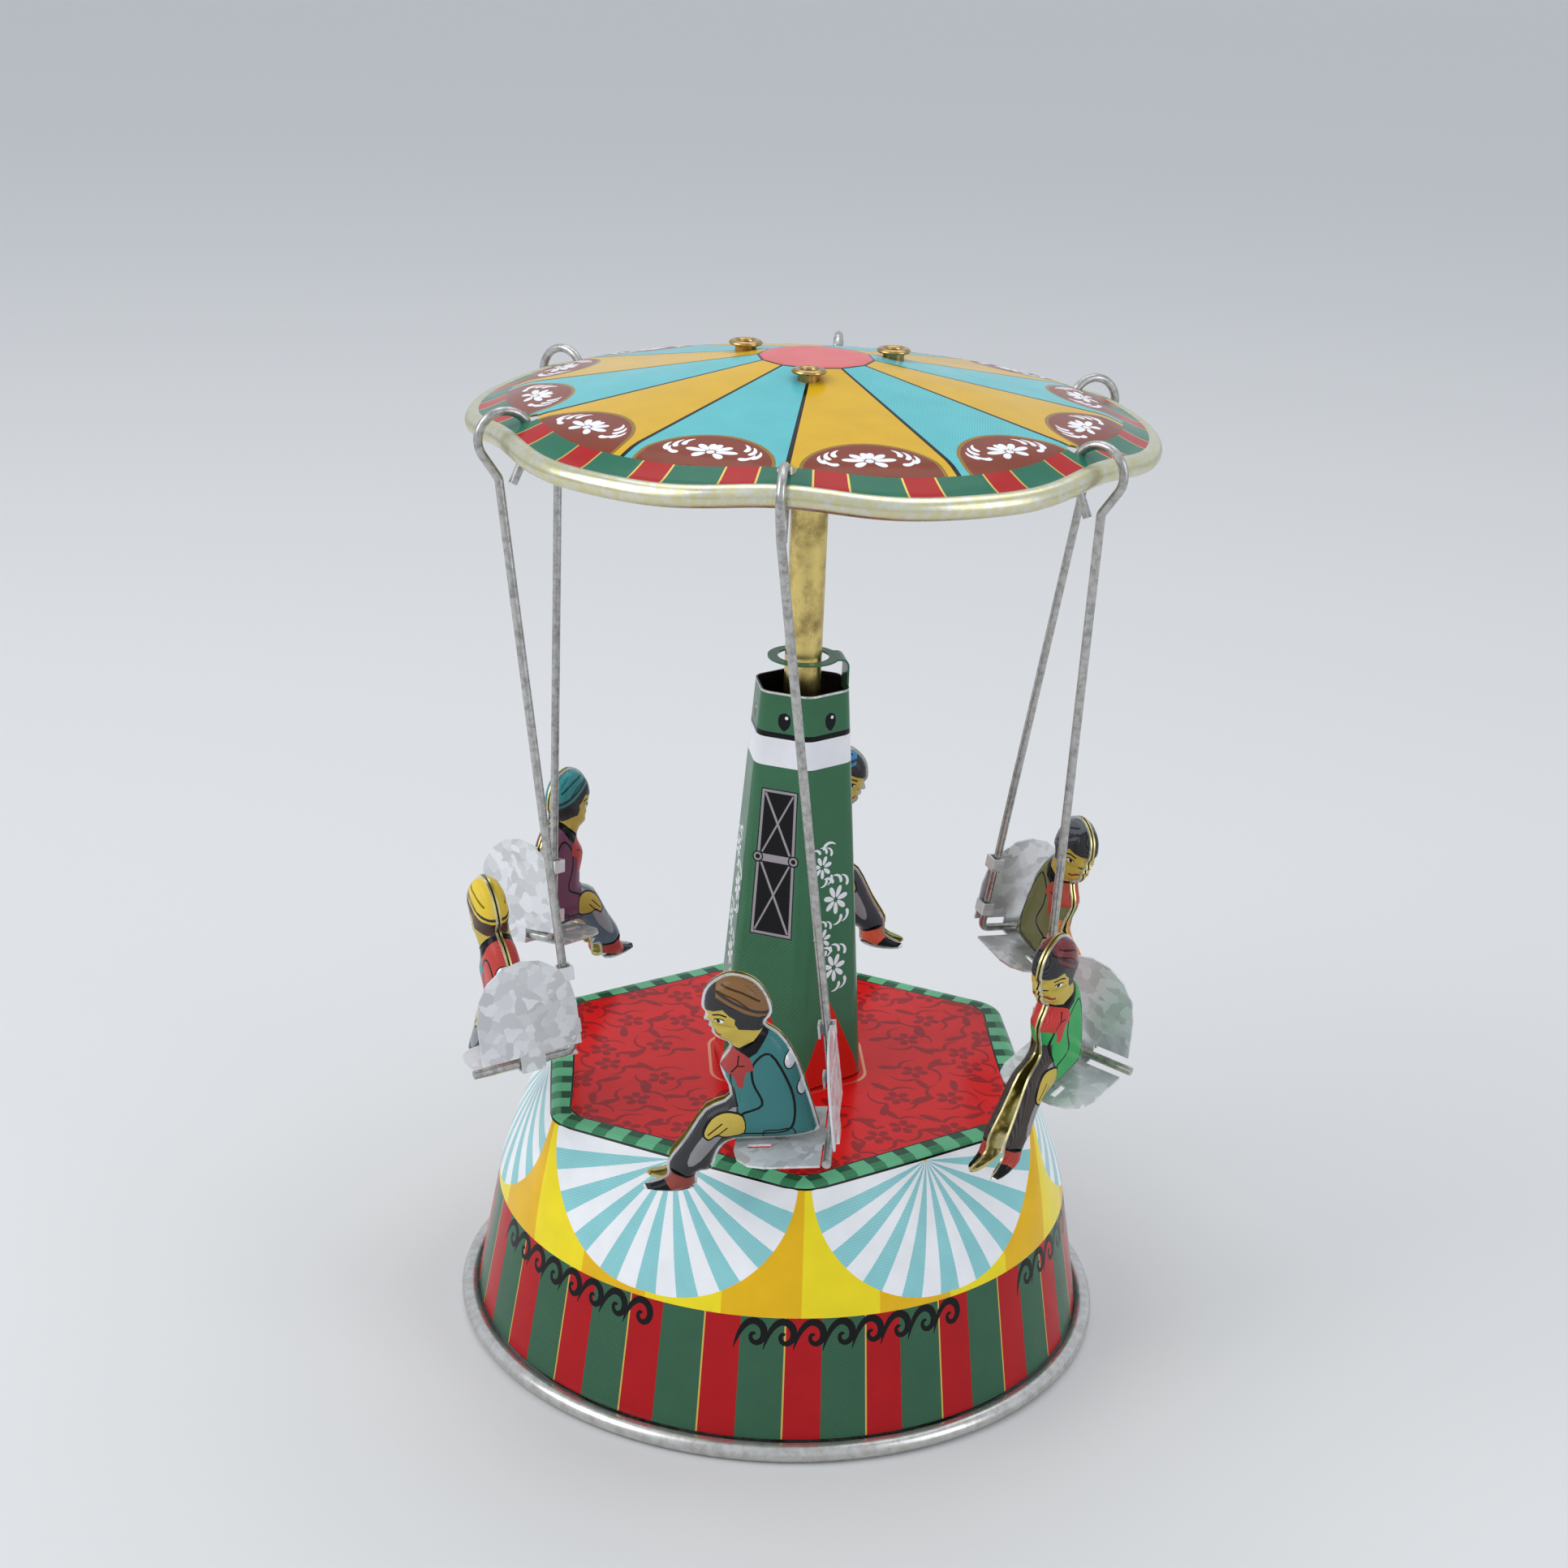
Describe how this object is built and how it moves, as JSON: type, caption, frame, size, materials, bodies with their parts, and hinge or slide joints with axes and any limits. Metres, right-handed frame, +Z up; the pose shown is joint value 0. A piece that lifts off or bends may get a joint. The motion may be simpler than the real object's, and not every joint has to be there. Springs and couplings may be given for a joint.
{
  "type": "tin litho swing carousel",
  "caption": "Clockwork tinplate swing carousel: a printed drum base holds a spring motor that turns a scalloped canopy with seated riders hung from it on wire hangers.",
  "frame": {"origin": "centre of the base on the surface it stands on", "axes": "+Z up along the spindle; -Y is the front, where a corner of the hexagonal deck points"},
  "size_m": [0.111, 0.121, 0.1652],
  "materials": {
    "base_litho": "gloss litho varnish over tinplate, red deck and striped skirt",
    "tower_litho": "gloss litho varnish over tinplate, dark green halftone",
    "canopy_litho": "gloss litho varnish over tinplate, yellow and turquoise panels, gold lacquer below",
    "rider_litho_1": "gloss litho varnish over tinplate, teal jacket, bright edges",
    "rider_litho_2": "gloss litho varnish over tinplate, green jacket, bright edges",
    "rider_litho_3": "gloss litho varnish over tinplate, olive jacket, bright edges",
    "rider_litho_4": "gloss litho varnish over tinplate, yellow jacket, bright edges",
    "rider_litho_5": "gloss litho varnish over tinplate, plum jacket, bright edges",
    "rider_litho_6": "gloss litho varnish over tinplate, red jacket, bright edges",
    "bright_tin": "spangled tinplate, dull with age",
    "steel_wire": "galvanised drawn wire",
    "brass": "dull brass",
    "spring_steel": "blued spring strip"
  },
  "bodies": {
    "root": {"base_shell": "base_litho", "bottom_cover": "bright_tin", "tower": "tower_litho", "front_plate": "bright_tin", "back_plate": "bright_tin", "pillar_1": "bright_tin", "pillar_2": "bright_tin", "pillar_3": "bright_tin", "pillar_4": "bright_tin", "step_bearing": "bright_tin", "spindle_strap": "bright_tin", "mainspring": "spring_steel", "key_collar": "brass"},
    "rotor": {"spindle": "steel_wire", "spindle_pinion": "brass", "drive_tube": "brass", "lower_plug": "brass", "upper_plug": "brass", "spider": "bright_tin", "eyelet_1": "brass", "eyelet_2": "brass", "eyelet_3": "brass", "canopy": "canopy_litho"},
    "crown": {"crown_arbor": "bright_tin", "crown_wheel": "brass", "governor_wheel": "brass"},
    "governor": {"governor_arbor": "bright_tin", "governor_fan": "bright_tin"},
    "great_wheel": {"great_wheel": "brass", "click_spring": "spring_steel"},
    "winding": {"winding_arbor": "bright_tin", "ratchet_wheel": "bright_tin", "winding_key": "bright_tin"},
    "swing_1": {"hanger_wire_1": "steel_wire", "seat_1": "bright_tin", "rider_1_outer_half": "rider_litho_1", "rider_1_inner_half": "rider_litho_1"},
    "swing_2": {"hanger_wire_2": "steel_wire", "seat_2": "bright_tin", "rider_2_outer_half": "rider_litho_2", "rider_2_inner_half": "rider_litho_2"},
    "swing_3": {"hanger_wire_3": "steel_wire", "seat_3": "bright_tin", "rider_3_outer_half": "rider_litho_3", "rider_3_inner_half": "rider_litho_3"},
    "swing_4": {"hanger_wire_4": "steel_wire", "seat_4": "bright_tin", "rider_4_outer_half": "rider_litho_4", "rider_4_inner_half": "rider_litho_4"},
    "swing_5": {"hanger_wire_5": "steel_wire", "seat_5": "bright_tin", "rider_5_outer_half": "rider_litho_5", "rider_5_inner_half": "rider_litho_5"},
    "swing_6": {"hanger_wire_6": "steel_wire", "seat_6": "bright_tin", "rider_6_outer_half": "rider_litho_6", "rider_6_inner_half": "rider_litho_6"}
  },
  "joints": [
    {"name": "rotor_spin", "type": "hinge", "parent": "root", "child": "rotor", "pos_m": [0, 0, 0.1], "axis": [0, 0, 1], "continuous": true},
    {"name": "crown_spin", "type": "hinge", "parent": "root", "child": "crown", "pos_m": [0, 0, 0.02], "axis": [0, 1, 0], "continuous": true},
    {"name": "great_wheel_spin", "type": "hinge", "parent": "root", "child": "great_wheel", "pos_m": [-0.0192, 0, 0.02], "axis": [0, 1, 0], "continuous": true},
    {"name": "governor_spin", "type": "hinge", "parent": "root", "child": "governor", "pos_m": [0.0192, 0, 0.02], "axis": [0, 1, 0], "continuous": true},
    {"name": "key_wind", "type": "hinge", "parent": "root", "child": "winding", "pos_m": [-0.0192, 0, 0.02], "axis": [0, 1, 0], "continuous": true},
    {"name": "swing_1_hang", "type": "hinge", "parent": "rotor", "child": "swing_1", "pos_m": [-0.00795, -0.05017, 0.1545], "axis": [-0.9877, 0.1564, 0], "range_deg": [-8, 35]},
    {"name": "swing_2_hang", "type": "hinge", "parent": "rotor", "child": "swing_2", "pos_m": [0.03948, -0.03197, 0.1545], "axis": [-0.6293, -0.7771, 0], "range_deg": [-8, 35]},
    {"name": "swing_3_hang", "type": "hinge", "parent": "rotor", "child": "swing_3", "pos_m": [0.04743, 0.0182, 0.1545], "axis": [0.3584, -0.9336, 0], "range_deg": [-8, 35]},
    {"name": "swing_4_hang", "type": "hinge", "parent": "rotor", "child": "swing_4", "pos_m": [0.00795, 0.05017, 0.1545], "axis": [0.9877, -0.1564, 0], "range_deg": [-8, 35]},
    {"name": "swing_5_hang", "type": "hinge", "parent": "rotor", "child": "swing_5", "pos_m": [-0.03948, 0.03197, 0.1545], "axis": [0.6293, 0.7771, 0], "range_deg": [-8, 35]},
    {"name": "swing_6_hang", "type": "hinge", "parent": "rotor", "child": "swing_6", "pos_m": [-0.04743, -0.0182, 0.1545], "axis": [-0.3584, 0.9336, 0], "range_deg": [-8, 35]}
  ],
  "couplings": [
    {"joint": "crown_spin", "follows": "rotor_spin", "ratio": -0.33333},
    {"joint": "great_wheel_spin", "follows": "rotor_spin", "ratio": 0.11111},
    {"joint": "governor_spin", "follows": "rotor_spin", "ratio": 1}
  ]
}
